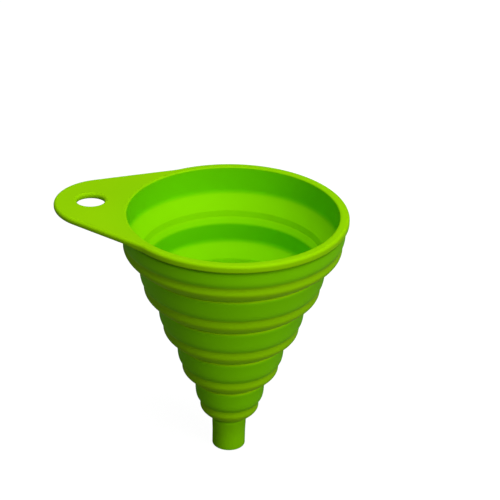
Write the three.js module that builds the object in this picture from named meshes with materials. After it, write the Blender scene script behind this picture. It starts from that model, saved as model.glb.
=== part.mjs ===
// Collapsible canning funnel, moulded in silicone: a round flanged rim with a hanging tab,
// five stepped walls joined by five folding bands, and a short spout.
// Units are millimetres, +Z is up. The spout's end face lies in the plane z = 0, the tab points
// to -X, and the plane y = 0 is the funnel's plane of symmetry. The origin is the centre of the
// whole footprint (rim and tab together) at the height of the spout's end face.
//
// Each band folds between two living hinges: the ridge at its top, where it leaves the wall
// above, and the crease at its foot, where it meets the wall or spout below. A wall and the
// band under it form one stage. The stages are cut apart at the creases, so that every stage
// can rise into the stage above it.

import * as THREE from 'three';
import { mergeVertices } from 'three/addons/utils/BufferGeometryUtils.js';

// ---- driving dimensions -------------------------------------------------------------------
const HEIGHT = 96.0;           // spout end face to the rim's top face, funnel open
const GAP = 0.3;               // clearance where a piece is cut from its neighbour
const SEGMENTS = 48;           // segments round the axis
const EDGE_MIDPOINT = 0.3;     // offset of a rounded edge's middle point, as a share of its size

// Rim flange
const RIM_R = 41.0;            // outer radius
const FLANGE_T = 2.8;          // thickness
const RIM_TOP_EDGE = 0.4;      // bevel of the outer top edge
const RIM_BOTTOM_EDGE = 0.3;   // bevel of the outer bottom edge
const MOUTH_R = 37.6;          // inner radius of the mouth
const MOUTH_FILLET = 1.0;      // rounding between the mouth and the rim's top face

// Walls
const WALL1_R = 39.9;          // outer radius of the first wall, under the flange
const WALL_T = 2.5;            // wall thickness of stages 2 to 5 just below the crease
const WALL_CURL = 3.8;         // exponent: how late a wall curls in towards its ridge
const LIP_RISE = 0.56;         // top of walls 2 to 5, above the crease
const LIP_INSET = 0.3;         // top of walls 2 to 5, inside the crease's radius
const SHOULDER_H = 2.1;        // height of the sloping shoulder inside the top of walls 2 to 5

// Creases and folding bands
const SPOUT_R = 6.2;           // outer radius of the spout, and of the last crease
const CREASE_DEPTH = 18.1;     // depth of the first crease below the rim's top face
const STEP_Z = 16.5;           // depth gained per stage
const HINGE_DROP = 0.6;        // band's inner top corner, below the ridge
const GROOVE_RISE = 2.84;      // height above the crease of the point a band's inner face aims at
const GROOVE_INSET = 0.28;     // the same point, inside the crease's radius

// One row per stage, from the top: outer radius at the crease, ridge radius beyond the crease,
// ridge height above the crease, exponent for how late the band curls in towards its crease.
const STAGE_TABLE = [
  [33.2, 6.2, 8.0, 1.95],
  [26.3, 5.8, 7.7, 1.95],
  [19.45, 5.65, 7.65, 1.9],
  [12.7, 5.4, 7.55, 1.9],
  [SPOUT_R, 5.1, 7.5, 1.85],
];

// Fractions of the height at which the curled outer faces get a point
const WALL_STATIONS = [0.75, 0.9];
const BAND_STATIONS = [0.35, 0.62, 0.83];

// Spout
const BORE_R = 3.9;            // radius of the bore
const SPOUT_END_EDGE = 0.5;    // rounding of the outer edge at the end face
const SPOUT_TOP_EDGE = 0.4;    // bevel of the outer edge at the top
const SPOUT_RISE = 1.7;        // spout top above the outer foot of the last band
const BORE_FLARE_H = 2.0;      // height over which the bore widens to the top

// Hanging tab
const TAB_T = 2.4;             // thickness
const TAB_SIDE = 40.1;         // funnel axis to each of the tab's straight sides
const TAB_TIP_R = 18.9;        // radius of the rounded end
const TAB_TIP_X = 45.5;        // funnel axis to the centre of the rounded end
const HOLE_R = 5.0;            // radius of the hanging hole
const HOLE_X = 51.4;           // funnel axis to the centre of the hanging hole
const RIM_ARC_STEPS = 14;
const TIP_ARC_STEPS = 22;
const HOLE_SEGMENTS = 28;

const COLORS = {
  flange: 0x8ed200,
  wall: 0x5c9600,
  fold: 0x7fb800,
  spout: 0x5f9a00,
  tab: 0x9ad800,
};

// The footprint runs from the tab's end to the far side of the rim, and is centred on x = 0.
const AXIS_X = (TAB_TIP_X + TAB_TIP_R - RIM_R) / 2;

// ---- helpers ------------------------------------------------------------------------------
// Six times the volume enclosed by the triangles; negative if they face inwards.
function signedVolume(positions, triangles) {
  const corners = [new THREE.Vector3(), new THREE.Vector3(), new THREE.Vector3()];
  let volume = 0;
  for (let i = 0; i < triangles.length; i += 3) {
    corners.forEach((corner, j) => corner.fromBufferAttribute(positions, triangles[i + j]));
    volume += corners[0].dot(corners[1].cross(corners[2]));
  }
  return volume;
}

// Welds a geometry into a closed mesh whose faces point out.
function weld(geometry) {
  // Vertices only merge where all their attributes agree.
  geometry.deleteAttribute('normal');
  geometry.deleteAttribute('uv');
  const merged = mergeVertices(geometry, 1e-4);
  const index = merged.index.array;

  // Drop slivers left where vertices merged.
  const triangles = [];
  for (let i = 0; i < index.length; i += 3) {
    const corners = [index[i], index[i + 1], index[i + 2]];
    if (new Set(corners).size === 3) triangles.push(...corners);
  }
  if (signedVolume(merged.attributes.position, triangles) < 0) triangles.reverse();
  merged.setIndex(triangles);
  merged.computeVertexNormals();
  return merged;
}

// A ring from a profile of [radius, z] points, z measured from the rim's top face.
function revolve(profile) {
  const points = [...profile, profile[0]].map(([radius, z]) => new THREE.Vector2(radius, z));
  const geometry = new THREE.LatheGeometry(points, SEGMENTS);
  geometry.rotateX(Math.PI / 2);       // the lathe's axis becomes +Z
  return weld(geometry);
}

// Points of an arc centred on y = 0, both ends included.
function arcPoints({ centerX, radius, from, to, steps }) {
  return Array.from({ length: steps + 1 }, (_, i) => {
    const angle = from + (to - from) * (i / steps);
    return new THREE.Vector2(centerX + radius * Math.cos(angle), radius * Math.sin(angle));
  });
}

const silicone = (color) =>
  new THREE.MeshStandardMaterial({ color, roughness: 0.55, metalness: 0.0 });

// ---- section of the stages ----------------------------------------------------------------
const stages = STAGE_TABLE.map(([creaseR, ridgeOut, ridgeRise, bandCurl], i) => {
  const isFirst = i === 0;
  const creaseZ = -CREASE_DEPTH - STEP_Z * i;
  const topR = isFirst ? WALL1_R : STAGE_TABLE[i - 1][0];
  return {
    isFirst,
    creaseR,
    creaseZ,
    bandCurl,
    ridgeR: creaseR + ridgeOut,
    ridgeZ: creaseZ + ridgeRise,
    topR,                                            // outside of the wall at its top
    topZ: isFirst ? -FLANGE_T : creaseZ + STEP_Z,    // flange underside or crease above
    innerR: isFirst ? MOUTH_R : topR - WALL_T,
  };
});

// The outside of a wall is straight and curls in towards the ridge at its foot.
function wallPoint({ topR, topZ, ridgeR, ridgeZ }, z) {
  const fraction = (z - topZ) / (ridgeZ - topZ);
  return [topR - (topR - ridgeR) * fraction ** WALL_CURL, z];
}

// The outside of a band leaves the ridge upright and curves in to the crease.
function bandPoint({ ridgeR, ridgeZ, creaseR, creaseZ, bandCurl }, z) {
  const fraction = (ridgeZ - z) / (ridgeZ - creaseZ);
  return [ridgeR - (ridgeR - creaseR) * fraction ** bandCurl, z];
}

// A band stops just outside the crease's radius, clear of the wall or spout below.
const bandEndR = ({ creaseR }) => creaseR + GAP;

// Height of the band's outer face at its end: bandPoint solved for z.
function bandEndZ(stage) {
  const { ridgeR, ridgeZ, creaseR, creaseZ, bandCurl } = stage;
  const fraction = ((ridgeR - bandEndR(stage)) / (ridgeR - creaseR)) ** (1 / bandCurl);
  return ridgeZ - fraction * (ridgeZ - creaseZ);
}

// ---- pieces -------------------------------------------------------------------------------
function rimFlange() {
  return revolve([
    [MOUTH_R, -FLANGE_T],
    [WALL1_R, -FLANGE_T],
    [RIM_R - RIM_BOTTOM_EDGE, -FLANGE_T],
    [RIM_R, -FLANGE_T + RIM_BOTTOM_EDGE],
    [RIM_R, -RIM_TOP_EDGE],
    [RIM_R - RIM_TOP_EDGE, 0],
    [MOUTH_R + MOUTH_FILLET, 0],
    [MOUTH_R + EDGE_MIDPOINT * MOUTH_FILLET, -EDGE_MIDPOINT * MOUTH_FILLET],
    [MOUTH_R, -MOUTH_FILLET],
  ]);
}

function wall(stage) {
  const { isFirst, innerR, topR, topZ, ridgeZ } = stage;
  const footZ = ridgeZ + GAP / 2;
  const flatTop = [
    [innerR, topZ - GAP],
    [topR, topZ - GAP],
  ];
  const shoulderedTop = [
    [innerR, topZ + LIP_RISE - SHOULDER_H],
    [topR - LIP_INSET, topZ + LIP_RISE],
    [topR, topZ],
  ];
  return revolve([
    ...(isFirst ? flatTop : shoulderedTop),
    ...WALL_STATIONS.map((t) => wallPoint(stage, topZ + (footZ - topZ) * t)),
    wallPoint(stage, footZ),
    [innerR, footZ],
  ]);
}

function foldingBand(stage) {
  const { innerR, ridgeZ, creaseR, creaseZ } = stage;
  const headZ = ridgeZ - GAP / 2;
  const endR = bandEndR(stage);
  const endZ = bandEndZ(stage);

  // The inner face slopes straight from the wall's inner corner towards the groove point
  // above the crease, and stops at the band's end.
  const cornerZ = ridgeZ - HINGE_DROP;
  const grooveR = creaseR - GROOVE_INSET;
  const grooveZ = creaseZ + GROOVE_RISE;
  const slope = (cornerZ - grooveZ) / (innerR - grooveR);

  return revolve([
    [innerR, headZ],
    bandPoint(stage, headZ),
    ...BAND_STATIONS.map((t) => bandPoint(stage, headZ + (endZ - headZ) * t)),
    [endR, endZ],
    [endR, grooveZ + slope * (endR - grooveR)],
    [innerR, cornerZ],
  ]);
}

function spout() {
  const topZ = bandEndZ(stages.at(-1)) + SPOUT_RISE;
  const edgeMiddle = EDGE_MIDPOINT * SPOUT_END_EDGE;
  return revolve([
    [SPOUT_R - SPOUT_TOP_EDGE, topZ],
    [SPOUT_R, topZ - SPOUT_TOP_EDGE],
    [SPOUT_R, -HEIGHT + SPOUT_END_EDGE],
    [SPOUT_R - edgeMiddle, -HEIGHT + edgeMiddle],
    [SPOUT_R - SPOUT_END_EDGE, -HEIGHT],
    [BORE_R, -HEIGHT],
    [BORE_R, topZ - BORE_FLARE_H],
  ]);
}

// A flat plate with two straight sides that run from the rim to a rounded end.
function hangTab() {
  const rootR = RIM_R + GAP;
  // Direction, from +X, of the normal to the side at +Y; the side touches the tip's arc there.
  const normalAngle = Math.PI / 2 + Math.asin((TAB_SIDE - TAB_TIP_R) / TAB_TIP_X);
  // Direction in which that side meets the root's arc round the rim
  const rootAngle = normalAngle + Math.acos(TAB_SIDE / rootR);

  const outline = [
    ...arcPoints({                     // along the rim, from the +Y to the -Y side
      centerX: 0,
      radius: rootR,
      from: rootAngle,
      to: 2 * Math.PI - rootAngle,
      steps: RIM_ARC_STEPS,
    }),
    ...arcPoints({                     // round the tip, back to the +Y side
      centerX: -TAB_TIP_X,
      radius: TAB_TIP_R,
      from: -normalAngle,
      to: normalAngle - 2 * Math.PI,
      steps: TIP_ARC_STEPS,
    }),
  ];
  const shape = new THREE.Shape(outline.reverse());  // counter-clockwise, as its hole is clockwise
  const hole = new THREE.Path();
  hole.absarc(-HOLE_X, 0, HOLE_R, 0, Math.PI * 2, true);
  shape.holes.push(hole);

  const plate = new THREE.ExtrudeGeometry(shape, {
    depth: TAB_T,
    bevelEnabled: false,
    curveSegments: HOLE_SEGMENTS,
  });
  plate.translate(0, 0, -TAB_T);       // top face level with the rim's
  return weld(plate);
}

// ---- assembly -----------------------------------------------------------------------------
const group = new THREE.Group();

function add(name, geometry, color) {
  const mesh = new THREE.Mesh(geometry, silicone(color));
  mesh.name = name;
  mesh.position.set(AXIS_X, 0, HEIGHT);   // pieces are drawn from the rim's top face down
  group.add(mesh);
}

add('rim_flange', rimFlange(), COLORS.flange);
stages.forEach((stage, i) => {
  add(`wall_${i + 1}`, wall(stage), COLORS.wall);
  add(`fold_${i + 1}`, foldingBand(stage), COLORS.fold);
});
add('spout', spout(), COLORS.spout);
add('hang_tab', hangTab(), COLORS.tab);

export default group;
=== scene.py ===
# Collapsible silicone funnel: a rim flange with a hanging tab, five stepped walls joined by
# folding bands, and a spout.
# The funnel's axis is upright (along Z), with the rim at the top, the spout at the bottom and
# the tab reaching out to -X. Lengths are in millimetres until a mesh, light or camera is made.
# Heights in the sections are measured from the rim's top face, so they are negative below it.
import math
from functools import partial

import bmesh
import bpy
import numpy as np
from mathutils import Matrix, Vector
from mathutils.geometry import delaunay_2d_cdt


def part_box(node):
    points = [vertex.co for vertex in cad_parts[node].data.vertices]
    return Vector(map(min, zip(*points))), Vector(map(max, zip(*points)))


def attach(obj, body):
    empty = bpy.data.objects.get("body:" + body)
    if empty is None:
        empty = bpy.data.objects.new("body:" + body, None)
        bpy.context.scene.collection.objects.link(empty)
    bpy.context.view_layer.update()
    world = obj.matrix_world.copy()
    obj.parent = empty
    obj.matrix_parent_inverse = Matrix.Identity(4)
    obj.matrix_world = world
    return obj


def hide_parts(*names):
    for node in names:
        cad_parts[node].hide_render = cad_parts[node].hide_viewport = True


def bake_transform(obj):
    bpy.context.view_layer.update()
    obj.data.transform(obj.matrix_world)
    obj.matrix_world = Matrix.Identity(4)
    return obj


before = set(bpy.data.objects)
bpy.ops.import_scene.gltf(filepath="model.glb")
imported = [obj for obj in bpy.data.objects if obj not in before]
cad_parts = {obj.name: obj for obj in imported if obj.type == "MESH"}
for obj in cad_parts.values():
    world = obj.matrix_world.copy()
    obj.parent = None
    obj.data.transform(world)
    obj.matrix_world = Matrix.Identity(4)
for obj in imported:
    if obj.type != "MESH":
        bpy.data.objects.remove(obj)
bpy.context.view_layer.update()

scene = bpy.context.scene
MM = 0.001                                            # metres


# ---------------------------------------------------------------------------------------
# Sizes, most of them read from the CAD frame
# ---------------------------------------------------------------------------------------
def cad(node):
    low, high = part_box(node)
    return low * 1000.0, high * 1000.0


def half_width(node):
    low, high = cad(node)
    return (high.y - low.y) / 2


AXIS_X = (cad("spout")[0].x + cad("spout")[1].x) / 2
RIM_Z = cad("rim_flange")[1].z                        # the rim's top face
RIM_R = half_width("rim_flange")
FLANGE_T = RIM_Z - cad("rim_flange")[0].z
MOUTH_R = 37.6
WALL_1_R = half_width("wall_1")
WALL_T = 2.5
SPOUT_R = half_width("spout")
SPOUT_END = cad("spout")[0].z - RIM_Z
BORE_R = 3.9

TAB_T = RIM_Z - cad("hang_tab")[0].z
TAB_END = AXIS_X - cad("hang_tab")[0].x               # funnel axis to the tab's end
TAB_TIP_R = 18.9
TAB_TIP_D = TAB_END - TAB_TIP_R                       # funnel axis to the tip's centre
TAB_SIDE = 40.1                                       # funnel axis to the line of the tab's side
HOLE_D = 51.4                                         # funnel axis to the hanging hole
HOLE_R = 5.0

FOLD_MARGIN = 0.15    # ridges and the last crease lie this far beyond the CAD folds
CREASE_DROP = 0.56    # other creases lie this far below the CAD walls' tops

# (radius, height) of outer edges: band k starts at ridge k and wall k + 1 at crease k.
# The spout starts at crease 5.
CREASE, RIDGE, INNER_R = {}, {}, {}
for k in range(1, 6):
    fold_low, fold_high = cad(f"fold_{k}")
    RIDGE[k] = (half_width(f"fold_{k}"), fold_high.z + FOLD_MARGIN - RIM_Z)
    if k < 5:
        next_wall = f"wall_{k + 1}"
        CREASE[k] = (half_width(next_wall), cad(next_wall)[1].z - CREASE_DROP - RIM_Z)
    else:
        CREASE[k] = (SPOUT_R, fold_low.z - RIM_Z - FOLD_MARGIN)
    INNER_R[k] = MOUTH_R if k == 1 else half_width(f"wall_{k}") - WALL_T

LIP = 0.50            # how far a wall's rounded shoulder leans in to the crease
LIP_RISE = 0.03       # the lip's inner edge, above the crease
WALL_CURL = 3.8       # how late a wall leans in to its ridge (exponent)
BAND_CURL = {1: 2.2, 2: 2.2, 3: 2.15, 4: 2.15, 5: 2.1}    # the same for a band, per stage
NECK = 0.70           # how far the first wall is drawn in under the flange
NECK_REACH = 0.95     # how far down that goes
FURROW = 0.72         # depth of the furrow along the hinge between a wall and its band
FURROW_DROP = 0.35    # its bottom, below the ridge's height
FURROW_UP, FURROW_DOWN = 1.55, 1.9    # its width on the wall's side and on the band's
BULGE = 0.22          # how far the bead under the furrow swells out
BULGE_DROP = 2.4      # its middle, below the ridge's height
BULGE_UP, BULGE_DOWN = 1.1, 2.2       # its width above and below that
HINGE_IN = 1.8        # height of the hinge's cut on the inside, above the ridge
GROOVE_IN, GROOVE_UP = 0.85, 0.38     # a crease's inner end, inward and up from the crease

SEGMENTS = 288        # round the funnel's axis
HOLE_SEGMENTS = 96
LONGEST = 0.9         # longest straight stretch in a turned section


def smoothstep(x):
    x = min(max(x, 0.0), 1.0)
    return x * x * (3 - 2 * x)


def rise(distance, over):
    """0 up to distance 0, easing to 1 at `over`."""
    return smoothstep(distance / over)


def fade(distance, over):
    """1 up to distance 0, easing to 0 at `over`."""
    return smoothstep(1 - distance / over)


def bell(distance, width):
    return math.exp(-((distance / width) ** 2))


def quarter(steps):
    """Angles of a quarter turn, both ends included."""
    return [math.pi / 2 * i / steps for i in range(steps + 1)]


# ---------------------------------------------------------------------------------------
# Sections: closed polygons, clockwise with the radius to the right and height upward.
# A point is (radius, height), a rounded corner (radius, height, rounding) and a hard corner
# (radius, height, HARD).
# ---------------------------------------------------------------------------------------
HARD = 0.0


def rounding_of(corner):
    return corner[2] if len(corner) > 2 else 0.0


def rounded(section, steps=7):
    """The section with its corners rounded, and for each point whether it is a hard corner."""
    points, hard = [], []
    for i, corner in enumerate(section):
        before, after = section[i - 1], section[(i + 1) % len(section)]
        here = np.array(corner[:2], float)
        rounding = rounding_of(corner)
        if rounding == 0.0:
            points.append(here)
            hard.append(len(corner) > 2)
            continue
        back = np.array(before[:2], float) - here
        ahead = np.array(after[:2], float) - here
        back_length, ahead_length = np.linalg.norm(back), np.linalg.norm(ahead)
        back, ahead = back / back_length, ahead / ahead_length
        half = math.acos(float(np.clip(back @ ahead, -1, 1))) / 2
        # two rounded corners share the stretch between them
        back_share = 0.48 if rounding_of(before) else 0.95
        ahead_share = 0.48 if rounding_of(after) else 0.95
        cut = min(rounding / math.tan(half), back_share * back_length, ahead_share * ahead_length)
        radius = cut * math.tan(half)
        middle = (back + ahead) / np.linalg.norm(back + ahead)
        centre = here + middle * (radius / math.sin(half))
        start, end = here + back * cut - centre, here + ahead * cut - centre
        first = math.atan2(start[1], start[0])
        turn = (math.atan2(end[1], end[0]) - first + math.pi) % (2 * math.pi) - math.pi
        for j in range(steps + 1):
            angle = first + turn * j / steps
            points.append(centre + radius * np.array([math.cos(angle), math.sin(angle)]))
            hard.append(False)
    return points, hard


def split_long(points, hard):
    """Adds points on long straight stretches, so that quads stay well shaped."""
    out, out_hard = [], []
    for i, point in enumerate(points):
        step = points[(i + 1) % len(points)] - point
        out.append(point)
        out_hard.append(hard[i])
        extra = int(np.linalg.norm(step) / LONGEST)
        for j in range(1, extra + 1):
            out.append(point + step * j / (extra + 1))
            out_hard.append(False)
    return out, out_hard


def lip_edge(k):
    """The edge at crease k where band k meets the lip of the next wall or the spout."""
    return CREASE[k][0] - LIP, CREASE[k][1] + LIP_RISE


def groove(k):
    return CREASE[k][0] - GROOVE_IN, CREASE[k][1] + GROOVE_UP


def skin(k, z):
    """Outer radius of stage k at height z: wall, furrow, bead, then the band curving in."""
    ridge_r, ridge_z = RIDGE[k]
    if z >= ridge_z:
        top_r, top_z = (WALL_1_R, -FLANGE_T) if k == 1 else CREASE[k - 1]
        down = max((z - top_z) / (ridge_z - top_z), 0.0)
        radius = top_r - (top_r - ridge_r) * down ** WALL_CURL
        if k == 1:
            radius -= NECK * bell(z - top_z, NECK_REACH)
    else:
        edge_r, edge_z = lip_edge(k)
        down = min((ridge_z - z) / (ridge_z - edge_z), 1.0)
        radius = ridge_r - (ridge_r - edge_r) * down ** BAND_CURL[k]
        below = ridge_z - z - BULGE_DROP
        radius += BULGE * bell(below, BULGE_DOWN if below > 0 else BULGE_UP)
    above = z - (ridge_z - FURROW_DROP)
    return radius - FURROW * bell(above, FURROW_UP if above > 0 else FURROW_DOWN)


def wall_curve(k, start_z, steps=34):
    """The outside of wall k from start_z to its ridge, without the first point."""
    heights = [start_z + (RIDGE[k][1] - start_z) * i / steps for i in range(1, steps + 1)]
    return [(skin(k, z), z) for z in heights]


def band_curve(k, steps=38):
    """The outside of band k between its ridge and its crease, without the ends."""
    ridge_z, edge_z = RIDGE[k][1], lip_edge(k)[1]
    heights = [ridge_z + (edge_z - ridge_z) * i / steps for i in range(1, steps)]
    return [(skin(k, z), z) for z in heights]


def shoulder(crease_r, crease_z, drop):
    """The rounded top of a wall, from the lip's edge out to the wall's face."""
    return [
        (crease_r - LIP * (1 - math.sin(angle)), crease_z + LIP_RISE - drop * (1 - math.cos(angle)))
        for angle in quarter(8)[1:]
    ]


def wall_section(k):
    crease_z, ridge_z = CREASE[k - 1][1], RIDGE[k][1]
    inner_drop = 1.8                              # top of the inner face, below the crease
    return [
        (*lip_edge(k - 1), HARD),
        *shoulder(*CREASE[k - 1], drop=1.25),
        *wall_curve(k, start_z=crease_z - 1.45)[:-1],
        (skin(k, ridge_z), ridge_z, HARD),
        (INNER_R[k], ridge_z + HINGE_IN, HARD),
        (INNER_R[k], crease_z - inner_drop, 1.8),
        (*groove(k - 1), HARD),
    ]


def band_section(k):
    crease_r, crease_z = CREASE[k]
    ridge_z = RIDGE[k][1]
    slope_foot = (crease_r - 0.1, crease_z + 2.45)
    slope_top = (INNER_R[k], ridge_z + 0.1)
    return [
        (skin(k, ridge_z), ridge_z, HARD),
        *band_curve(k),
        (*lip_edge(k), HARD),
        (*groove(k), HARD),
        (*slope_foot, 1.1),
        (*slope_top, 3.2),
        (INNER_R[k], ridge_z + HINGE_IN, HARD),
    ]


def spout_section():
    crease_r, crease_z = CREASE[5]
    top_r = crease_r + 0.05                       # the tube narrows slightly downwards
    middle_r = crease_r - 0.1
    end_r = crease_r - 0.12
    return [
        (*lip_edge(5), HARD),
        *shoulder(top_r, crease_z, drop=1.0),
        (top_r, crease_z - 2.0),
        (middle_r, crease_z - 6.0),
        (end_r, SPOUT_END, 0.45),
        (BORE_R, SPOUT_END, 0.35),
        (BORE_R, crease_z - 1.8, 1.3),
        (*groove(5), HARD),
    ]


# ---------------------------------------------------------------------------------------
# Shading stored on the vertices, as functions of radius and height.
# "warm" goes from full green (0) to olive (1); the other attribute is painted light and shade,
# lighter above 0 and darker below.
# ---------------------------------------------------------------------------------------
WARM_FOLD = 0.74      # hinges, the outside of bands and the corner under the flange
WARM_FLANGE = 0.72    # edge and underside of flange and tab, and most of their top
WARM_MOUTH = 0.62     # top face at the mouth
WARM_SLOPE = 0.39     # slopes inside, next to a crease
WARM_INSIDE = 0.36    # top of a wall's inner face
WARM_WALL = 0.30      # the least on a wall's outside


def wall_warm(k, radius, z):
    """Olive where the wall curls in to the furrow and along its lip."""
    face_top = CREASE[k - 1][1] - 1.0 if k > 1 else math.inf
    if radius < INNER_R[k] + 0.7 and z < face_top:
        return WARM_INSIDE * fade(face_top - z, over=1.6) if k > 1 else 0.0
    foot = WARM_FOLD * fade(z - RIDGE[k][1], over=2.2)
    lip = 0.0
    if k > 1:
        crease_r, crease_z = CREASE[k - 1]
        inside = radius < crease_r - LIP - 0.05
        lip = (WARM_SLOPE if inside else 1.0) * fade(crease_z - z, over=1.1)
    return max(foot, lip, WARM_WALL)


def lip_painted_highlight(k, radius, z):
    """Painted highlight: the thin lip of the wall under crease k is lighter."""
    crease_r, crease_z = CREASE[k]
    if radius < crease_r - LIP - 0.05:
        return 0.0
    return 0.7 * fade(crease_z - z - 0.2, over=1.3)


def band_painted_light(k, radius, z):
    """Painted light and shade: the bead and the crease are a little darker, the middle a little
    lighter.
    """
    ridge_z, crease_z = RIDGE[k][1], CREASE[k][1]
    if skin(k, min(max(z, crease_z), ridge_z)) - radius > 0.3:
        slope = 0.08 if k == 1 else 0.2           # painted light on the slope inside
        return slope * rise(ridge_z + 0.6 - z, over=1.6)
    down = (ridge_z - z) / (ridge_z - crease_z)   # 0 at the ridge, 1 at the crease
    bead = -0.15 * rise(down, over=0.06)
    middle = 0.35 * rise(down - 0.35, over=0.35)
    crease = 0.75 * rise(down - 0.78, over=0.2)
    return bead + middle - crease


def band_warm(k, radius, z):
    """Olive outside, a little olive on the slope inside."""
    ridge_z = RIDGE[k][1]
    outside = fade(skin(k, min(z, ridge_z)) - radius - 0.1, over=0.3)
    slope = rise(ridge_z + 0.6 - z, over=1.6)
    return max(WARM_FOLD * outside, WARM_SLOPE * slope)


def spout_warm(radius, z):
    """Even outside with a warmer lip, full green in the bore."""
    if radius <= 5.0:
        return 0.0
    return max(0.40, 0.5 * fade(CREASE[5][1] - z, over=0.9))


def rim_warm(radius, z):
    """Olive on flange and tab, greener on the first wall."""
    if radius < MOUTH_R + 0.9:
        return WARM_MOUTH * rise(z + 0.8, over=0.8)
    if radius > WALL_1_R - 0.1 and z > -FLANGE_T - 0.05:
        return WARM_FLANGE
    if z > -0.05:
        outward = rise(radius - MOUTH_R - 1.3, over=1.5)
        return WARM_MOUTH + (WARM_FLANGE - WARM_MOUTH) * outward
    return max(wall_warm(1, radius, z), WARM_FOLD * fade(-FLANGE_T - z, over=0.6))


def rim_painted_shade(radius, z):
    """Painted shade: the corner under the flange is darker."""
    if radius > WALL_1_R + 0.2 or radius < MOUTH_R + 0.9 or z > -FLANGE_T - 0.01:
        return 0.0
    return -1.3 * fade(-FLANGE_T - z - 0.5, over=1.2)


# ---------------------------------------------------------------------------------------
# Meshes
# ---------------------------------------------------------------------------------------
def add_object(name, data):
    obj = bpy.data.objects.new(name, data)
    scene.collection.objects.link(obj)
    return obj


def build(name, verts, faces, sharp, warm, painted_light=None):
    """A smooth-shaded object from vertices in millimetres; sharp holds vertex-index pairs."""
    mesh = bpy.data.meshes.new(name)
    mesh.from_pydata([(x * MM, y * MM, z * MM) for x, y, z in verts], [], faces)
    # olive tone, and painted light and shade (lighter above 0, darker below)
    for label, value in (("warm", warm), ("painted_light", painted_light)):
        layer = mesh.attributes.new(label, "FLOAT", "POINT")
        if value:
            values = [value(math.hypot(x - AXIS_X, y), z - RIM_Z) for x, y, z in verts]
            layer.data.foreach_set("value", values)
    mesh.validate()
    mesh.polygons.foreach_set("use_smooth", [True] * len(mesh.polygons))
    for edge in mesh.edges:
        start, end = edge.vertices
        if (start, end) in sharp or (end, start) in sharp:
            edge.use_edge_sharp = True
    mesh.update()
    obj = add_object(name, mesh)

    work = bmesh.new()
    work.from_mesh(mesh)
    bmesh.ops.recalc_face_normals(work, faces=work.faces)
    work.to_mesh(mesh)
    work.free()
    return obj


def revolve(name, section, warm, painted_light=None):
    """The section turned about the funnel's axis."""
    points, hard = split_long(*rounded(section))
    count = len(points)
    verts, faces, sharp = [], [], set()
    for j in range(SEGMENTS):
        angle = 2 * math.pi * j / SEGMENTS
        cos, sin = math.cos(angle), math.sin(angle)
        verts += [(AXIS_X + radius * cos, radius * sin, RIM_Z + z) for radius, z in points]
    for j in range(SEGMENTS):
        here, there = j * count, (j + 1) % SEGMENTS * count
        for i in range(count):
            after = (i + 1) % count
            faces.append((here + after, there + after, there + i, here + i))
            if hard[i]:
                sharp.add((here + i, there + i))
    return build(name, verts, faces, sharp, warm, painted_light)


def inside(polygon, x, y):
    """Whether a point lies in a polygon, by counting the edges crossed on one side."""
    start, end = polygon, np.roll(polygon, -1, 0)
    spans = (start[:, 1] > y) != (end[:, 1] > y)
    with np.errstate(divide="ignore", invalid="ignore"):       # level edges are never counted
        run, climb = end[:, 0] - start[:, 0], end[:, 1] - start[:, 1]
        cross_x = start[:, 0] + (y - start[:, 1]) * run / climb
    return int((spans & (x < cross_x)).sum()) % 2 == 1


class Skin:
    """A surface put together from loops of vertices."""

    def __init__(self):
        self.verts, self.faces, self.sharp = [], [], set()

    def loop(self, points):
        start = len(self.verts)
        self.verts.extend(points)
        return list(range(start, len(self.verts)))

    def bridge(self, loops):
        for one, other in zip(loops, loops[1:]):
            for i in range(len(one)):
                j = (i + 1) % len(one)
                self.faces.append((one[i], other[i], other[j], one[j]))

    def turn(self, line, centre_x, segments):
        """An open line of (radius, height), turned about the upright axis at centre_x."""
        angles = [2 * math.pi * j / segments for j in range(segments)]
        loops = [
            self.loop([
                (centre_x + radius * math.cos(angle), radius * math.sin(angle), RIM_Z + z)
                for angle in angles
            ])
            for radius, z in line
        ]
        self.bridge(loops)
        return loops

    def fill(self, loops, up):
        """A flat face bounded by the first loop, with the others as its holes."""
        ids = [i for loop in loops for i in loop]
        edges, first = [], 0
        for loop in loops:
            count = len(loop)
            edges += [(first + i, first + (i + 1) % count) for i in range(count)]
            first += count
        flat = [Vector(self.verts[i][:2]) for i in ids]
        _, _, triangles, origins, _, _ = delaunay_2d_cdt(flat, edges, [], 0, 1e-7)
        outer, *holes = [np.array([self.verts[i][:2] for i in loop]) for loop in loops]
        for triangle in triangles:
            corners = [ids[origins[i][0]] for i in triangle]
            p = np.array([self.verts[i][:2] for i in corners])
            x, y = p.mean(0)
            if not inside(outer, x, y) or any(inside(hole, x, y) for hole in holes):
                continue
            one, two = p[1] - p[0], p[2] - p[0]
            if (one[0] * two[1] - two[0] * one[1] > 0) != up:
                corners.reverse()
            self.faces.append(tuple(corners))


# ---------------------------------------------------------------------------------------
# Rim piece: flange, hanging tab and first wall in one closed skin
# ---------------------------------------------------------------------------------------
def mouth_line():
    """From under the flange down the first wall, in at the hinge and up to the top face.
    Also gives the index of the ridge in the line."""
    fillet = 0.25
    fillet_r = WALL_1_R - 0.62 + fillet
    line = [(fillet_r + 0.08, -FLANGE_T)]         # a narrow guard strip on the flat underside
    line += [
        (fillet_r - fillet * math.sin(angle), -FLANGE_T - fillet + fillet * math.cos(angle))
        for angle in quarter(5)
    ]
    line += wall_curve(1, start_z=-FLANGE_T - 0.45, steps=40)
    ridge = len(line) - 1

    hinge_z, face_top, steps = RIDGE[1][1] + HINGE_IN, -0.62, 10
    line += [(MOUTH_R, hinge_z + (face_top - hinge_z) * i / steps) for i in range(steps + 1)]
    ease, drop = 0.95, 0.45                       # the top face eases over into the mouth
    line += [
        (MOUTH_R + ease - ease * math.cos(angle), -drop + drop * math.sin(angle))
        for angle in quarter(12)
    ]
    line.append((MOUTH_R + ease + 0.1, 0.0))
    return line, ridge


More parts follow.
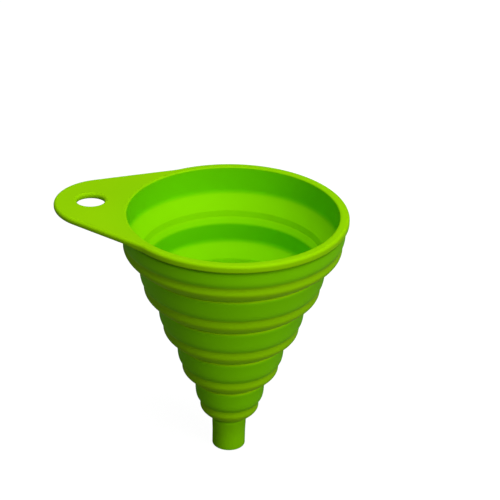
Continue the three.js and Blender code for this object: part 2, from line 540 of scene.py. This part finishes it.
def rim_outline():
    """Outline of flange and tab about the funnel's axis, and its outward normals."""
    hollow_r = 10.0                               # hollow rounding between rim and tab side
    bow = 0.05                                    # how far the tab's sides bow out
    rim_steps, hollow_steps, side_steps, tip_steps = 110, 8, 34, 44
    side = math.pi / 2 + math.asin((TAB_SIDE - TAB_TIP_R) / TAB_TIP_D)    # side's normal
    hollow = math.acos((TAB_SIDE + hollow_r) / (RIM_R + hollow_r))        # its turn

    half = []                                     # the half at +Y: x, y, normal's angle
    for i in range(rim_steps):
        angle = (side + hollow) * i / rim_steps
        half.append((RIM_R * math.cos(angle), RIM_R * math.sin(angle), angle))
    hollow_x = (RIM_R + hollow_r) * math.cos(side + hollow)
    hollow_y = (RIM_R + hollow_r) * math.sin(side + hollow)
    for i in range(hollow_steps):
        angle = side + hollow - hollow * i / hollow_steps
        x, y = hollow_x - hollow_r * math.cos(angle), hollow_y - hollow_r * math.sin(angle)
        half.append((x, y, angle))
    start_x, start_y = hollow_x - hollow_r * math.cos(side), hollow_y - hollow_r * math.sin(side)
    run_x = -TAB_TIP_D + TAB_TIP_R * math.cos(side) - start_x
    run_y = TAB_TIP_R * math.sin(side) - start_y
    length = math.hypot(run_x, run_y)
    for i in range(side_steps):
        t = i / side_steps
        out = bow * 4 * t * (1 - t)
        x = start_x + run_x * t + out * math.cos(side)
        y = start_y + run_y * t + out * math.sin(side)
        half.append((x, y, side - math.atan(bow * 4 * (1 - 2 * t) / length)))
    for i in range(tip_steps):
        angle = side + (math.pi - side) * i / tip_steps
        x, y = -TAB_TIP_D + TAB_TIP_R * math.cos(angle), TAB_TIP_R * math.sin(angle)
        half.append((x, y, angle))

    tip = (-TAB_TIP_D - TAB_TIP_R, 0.0, math.pi)
    whole = half + [tip] + [(x, -y, -angle) for x, y, angle in reversed(half[1:])]
    outline = np.array([(x, y) for x, y, _ in whole])
    normals = np.array([(math.cos(angle), math.sin(angle)) for _, _, angle in whole])
    return outline, normals


def edge_profile(point):
    """The full edge at an outline point as (inset, height), from top face to underside."""
    on_tab = rise(math.hypot(*point) - RIM_R, over=3.0)    # the flange eases into the tab
    thick = FLANGE_T + (TAB_T - FLANGE_T) * on_tab
    top, bottom = 1.10, 0.70 + 0.30 * on_tab      # roundings
    return [
        (top + 0.1, 0.0),
        *[(top - top * math.sin(a), -top + top * math.cos(a)) for a in quarter(10)],
        (0.0, -(top + thick - bottom) / 2),
        *[(bottom - bottom * math.cos(a), -thick + bottom - bottom * math.sin(a))
          for a in quarter(10)],
    ]


def hole_line():
    """The hanging hole's wall, from top face to underside."""
    top, bottom, guard = 1.0, 1.1, 0.12           # roundings, and flat strips round them
    return [
        (HOLE_R + top + guard, 0.0),
        *[(HOLE_R + top - top * math.sin(a), -top + top * math.cos(a)) for a in quarter(9)],
        (HOLE_R, -TAB_T / 2),
        *[(HOLE_R + bottom - bottom * math.cos(a), -TAB_T + bottom - bottom * math.sin(a))
          for a in quarter(9)],
        (HOLE_R + bottom + guard, -TAB_T),
    ]


def build_rim():
    surface = Skin()
    line, ridge = mouth_line()
    mouth = surface.turn(line, AXIS_X, SEGMENTS)
    for loop in mouth[ridge:ridge + 2]:           # both edges of the hinge's cut
        surface.sharp.update(zip(loop, loop[1:] + loop[:1]))

    outline, normals = rim_outline()
    edge = []
    for stations in zip(*[edge_profile(point) for point in outline]):
        points = []
        for point, normal, (inset, z) in zip(outline, normals, stations):
            x, y = point - normal * inset
            points.append((AXIS_X + x, y, RIM_Z + z))
        edge.append(surface.loop(points))
    surface.bridge(edge)

    hole = surface.turn(hole_line(), AXIS_X - HOLE_D, HOLE_SEGMENTS)
    surface.fill([edge[0], mouth[-1], hole[0]], up=True)
    surface.fill([edge[-1], mouth[0], hole[-1]], up=False)
    return build("rim_skin", surface.verts, surface.faces, surface.sharp, rim_warm, rim_painted_shade)


# ---------------------------------------------------------------------------------------
# Shader helpers
# ---------------------------------------------------------------------------------------
def add_node(tree, kind, **inputs):
    node = tree.nodes.new("ShaderNode" + kind)
    for name, value in inputs.items():
        node.inputs[name].default_value = value
    return node


def mix_shaders(tree, factor, first, second):
    mix = add_node(tree, "MixShader")
    for socket, source in zip(mix.inputs, (factor, first, second)):
        tree.links.new(source, socket)
    return mix.outputs[0]


def new_material(name):
    """An empty material, its node tree and its surface socket."""
    material = bpy.data.materials.new(name)
    material.use_nodes = True
    tree = material.node_tree
    tree.nodes.clear()
    return material, tree, add_node(tree, "OutputMaterial").inputs["Surface"]


def silicone():
    """Satin moulded silicone, coloured by the vertex attributes, with painted light and shade from
    one of them.
    """
    material, tree, surface = new_material("silicone")
    link = tree.links.new
    bsdf = add_node(tree, "BsdfPrincipled", **{
        "IOR": 1.41,
        "Specular IOR Level": 0.14,
        "Specular Tint": (0.70, 1.0, 0.05, 1),
    })
    link(bsdf.outputs[0], surface)
    coordinates = add_node(tree, "TexCoord").outputs["Object"]

    def noise(scale, detail, roughness):
        node = add_node(tree, "TexNoise", Scale=scale, Detail=detail, Roughness=roughness)
        link(coordinates, node.inputs["Vector"])
        return node.outputs[0]

    # pigment: broad, faint clouding over full green, and over the olive of edges and folds
    cloud = noise(scale=28.0, detail=3.0, roughness=0.5)

    def clouded(dark, light):
        ramp = add_node(tree, "ValToRGB")
        for stop, position, colour in zip(ramp.color_ramp.elements, (0.30, 0.70), (dark, light)):
            stop.position = position
            stop.color = (*colour, 1)
        link(cloud, ramp.inputs[0])
        return ramp.outputs[0]

    green = clouded(dark=(0.165, 0.690, 0.0003), light=(0.180, 0.725, 0.0004))
    olive = clouded(dark=(0.352, 0.668, 0.0004), light=(0.376, 0.700, 0.0006))
    pigment = add_node(tree, "Mix")
    pigment.data_type = "RGBA"
    warm = add_node(tree, "Attribute")
    warm.attribute_name = "warm"
    link(warm.outputs["Fac"], pigment.inputs[0])
    link(green, pigment.inputs[6])                # 6 and 7 are the colour inputs A and B
    link(olive, pigment.inputs[7])

    # painted light and shade: brightness 1 + 0.32 times the painted-light attribute
    painted_light = add_node(tree, "Attribute")
    painted_light.attribute_name = "painted_light"
    gain = add_node(tree, "Math")
    gain.operation = "MULTIPLY_ADD"
    gain.inputs[1].default_value = 0.32
    gain.inputs[2].default_value = 1.0
    link(painted_light.outputs["Fac"], gain.inputs[0])
    shaded = add_node(tree, "VectorMath")
    shaded.operation = "SCALE"
    link(pigment.outputs[2], shaded.inputs[0])
    link(gain.outputs[0], shaded.inputs["Scale"])
    link(shaded.outputs[0], bsdf.inputs["Base Color"])

    # satin: roughness wanders a little
    satin = add_node(tree, "MapRange", **{"To Min": 0.50, "To Max": 0.64})
    link(noise(scale=140.0, detail=4.0, roughness=0.6), satin.inputs["Value"])
    link(satin.outputs[0], bsdf.inputs["Roughness"])

    # mould grain, and a faint orange peel over it
    grain = add_node(tree, "Bump", Strength=0.10, Distance=0.00004)
    link(noise(scale=5200.0, detail=2.0, roughness=0.5), grain.inputs["Height"])
    peel = add_node(tree, "Bump", Strength=0.06, Distance=0.0002)
    link(noise(scale=420.0, detail=2.0, roughness=0.5), peel.inputs["Height"])
    link(grain.outputs[0], peel.inputs["Normal"])
    link(peel.outputs[0], bsdf.inputs["Normal"])
    return material


# ---------------------------------------------------------------------------------------
# Pieces
# ---------------------------------------------------------------------------------------
SILICONE = silicone()


def dress(obj, *nodes):
    obj.data.materials.append(SILICONE)
    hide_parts(*nodes)


rim = build_rim()
dress(rim, "rim_flange", "hang_tab", "wall_1")
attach(rim, "rim")

for k in range(2, 6):
    wall = revolve(
        f"wall_{k}_skin", wall_section(k), partial(wall_warm, k), partial(lip_painted_highlight, k - 1)
    )
    dress(wall, f"wall_{k}")
    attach(wall, f"ring_{k}")

spout = revolve("spout_skin", spout_section(), spout_warm)
dress(spout, "spout")
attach(spout, "spout")

# each band is built in place with its transform baked, attached to no body
for k in range(1, 6):
    band = revolve(
        f"fold_{k}_skin", band_section(k), partial(band_warm, k), partial(band_painted_light, k)
    )
    dress(band, f"fold_{k}")
    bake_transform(band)


# ---------------------------------------------------------------------------------------
# Floor and world
# ---------------------------------------------------------------------------------------
def floor_material():
    """Near white to the camera, dark grey to the light, and clear from below."""
    material, tree, surface = new_material("floor")
    rays = add_node(tree, "LightPath")
    seen = add_node(tree, "BsdfDiffuse", Color=(0.11, 0.11, 0.11, 1))
    glow = add_node(tree, "Emission", Color=(1, 1, 1, 1), Strength=0.975)
    glowing = add_node(tree, "AddShader")
    tree.links.new(seen.outputs[0], glowing.inputs[0])
    tree.links.new(glow.outputs[0], glowing.inputs[1])
    lit = add_node(tree, "BsdfDiffuse", Color=(0.22, 0.22, 0.22, 1))
    camera_ray = rays.outputs["Is Camera Ray"]
    above = mix_shaders(tree, camera_ray, lit.outputs[0], glowing.outputs[0])

    geometry = add_node(tree, "NewGeometry")
    from_below = add_node(tree, "Math")
    from_below.operation = "MULTIPLY"
    tree.links.new(geometry.outputs["Backfacing"], from_below.inputs[0])
    tree.links.new(camera_ray, from_below.inputs[1])
    clear = add_node(tree, "BsdfTransparent")
    tree.links.new(mix_shaders(tree, from_below.outputs[0], above, clear.outputs[0]), surface)
    return material


def add_floor():
    half, z = 3.0, -0.0003                        # metres
    corners = [(-half, -half, z), (half, -half, z), (half, half, z), (-half, half, z)]
    mesh = bpy.data.meshes.new("floor")
    mesh.from_pydata(corners, [], [(0, 1, 2, 3)])
    add_object("floor", mesh)
    mesh.materials.append(floor_material())


def set_world():
    """Faint light from all round; the camera sees white behind the floor's edge."""
    world = bpy.data.worlds.new("studio")
    scene.world = world
    world.use_nodes = True
    tree = world.node_tree
    soft = tree.nodes["Background"]
    soft.inputs["Color"].default_value = (1.0, 1.0, 1.0, 1)
    soft.inputs["Strength"].default_value = 0.045
    white = add_node(tree, "Background", Color=(1.0, 1.0, 1.0, 1), Strength=1.0)
    camera_ray = add_node(tree, "LightPath").outputs["Is Camera Ray"]
    mixed = mix_shaders(tree, camera_ray, soft.outputs[0], white.outputs[0])
    tree.links.new(mixed, tree.nodes["World Output"].inputs[0])


scene.view_settings.view_transform = "Standard"
scene.view_settings.look = "None"
scene.view_settings.exposure = 0.0
scene.view_settings.gamma = 1.0
add_floor()
set_world()

# ---------------------------------------------------------------------------------------
# Lights and camera
# ---------------------------------------------------------------------------------------
CAMERA_AZIMUTH = 8.8                                  # degrees, from -Y towards +X
LIGHT_TARGET = Vector((AXIS_X * MM, 0, RIM_Z * MM * 0.6))


def soft_box(name, azimuth, elevation, distance, size, power):
    """A square light aimed at the funnel; azimuth in degrees from the camera's own."""
    turn, tilt = math.radians(azimuth + CAMERA_AZIMUTH), math.radians(elevation)
    away = Vector((
        math.sin(turn) * math.cos(tilt), -math.cos(turn) * math.cos(tilt), math.sin(tilt)
    ))
    light = bpy.data.lights.new(name, "AREA")
    light.shape = "RECTANGLE"
    light.size = light.size_y = size
    light.energy = power
    obj = add_object(name, light)
    obj.location = LIGHT_TARGET + away * distance
    obj.rotation_mode = "QUATERNION"
    obj.rotation_quaternion = (-away).to_track_quat("-Z", "Y")


soft_box("top", azimuth=42, elevation=82, distance=1.3, size=1.0, power=11.1)
soft_box("key", azimuth=42, elevation=58, distance=1.2, size=0.35, power=2.3)
soft_box("fill", azimuth=42, elevation=24, distance=1.2, size=0.6, power=5.3)
soft_box("side", azimuth=-60, elevation=40, distance=1.2, size=0.5, power=0.85)


def add_camera(distance, elevation, roll, pan, tilt):
    """Orbits the middle of the rim's top face, then rolls, pans and tilts; angles in degrees."""
    data = bpy.data.cameras.new("camera")
    data.sensor_fit = "HORIZONTAL"
    data.sensor_width = 36.0
    data.lens = 139.0752
    data.clip_start, data.clip_end = 0.01, 20.0

    def rotation(degrees, axis):
        return Matrix.Rotation(math.radians(degrees), 4, axis)

    camera = add_object("camera", data)
    camera.matrix_world = (
        Matrix.Translation((AXIS_X * MM, 0, RIM_Z * MM))
        @ rotation(CAMERA_AZIMUTH, "Z") @ rotation(90 - elevation, "X")
        @ Matrix.Translation((0, 0, distance * MM))
        @ rotation(roll, "Z") @ rotation(pan, "Y") @ rotation(tilt, "X")
    )
    scene.camera = camera


add_camera(distance=680.0, elevation=26.37, roll=1.23, pan=-0.4917896, tilt=-1.118977)
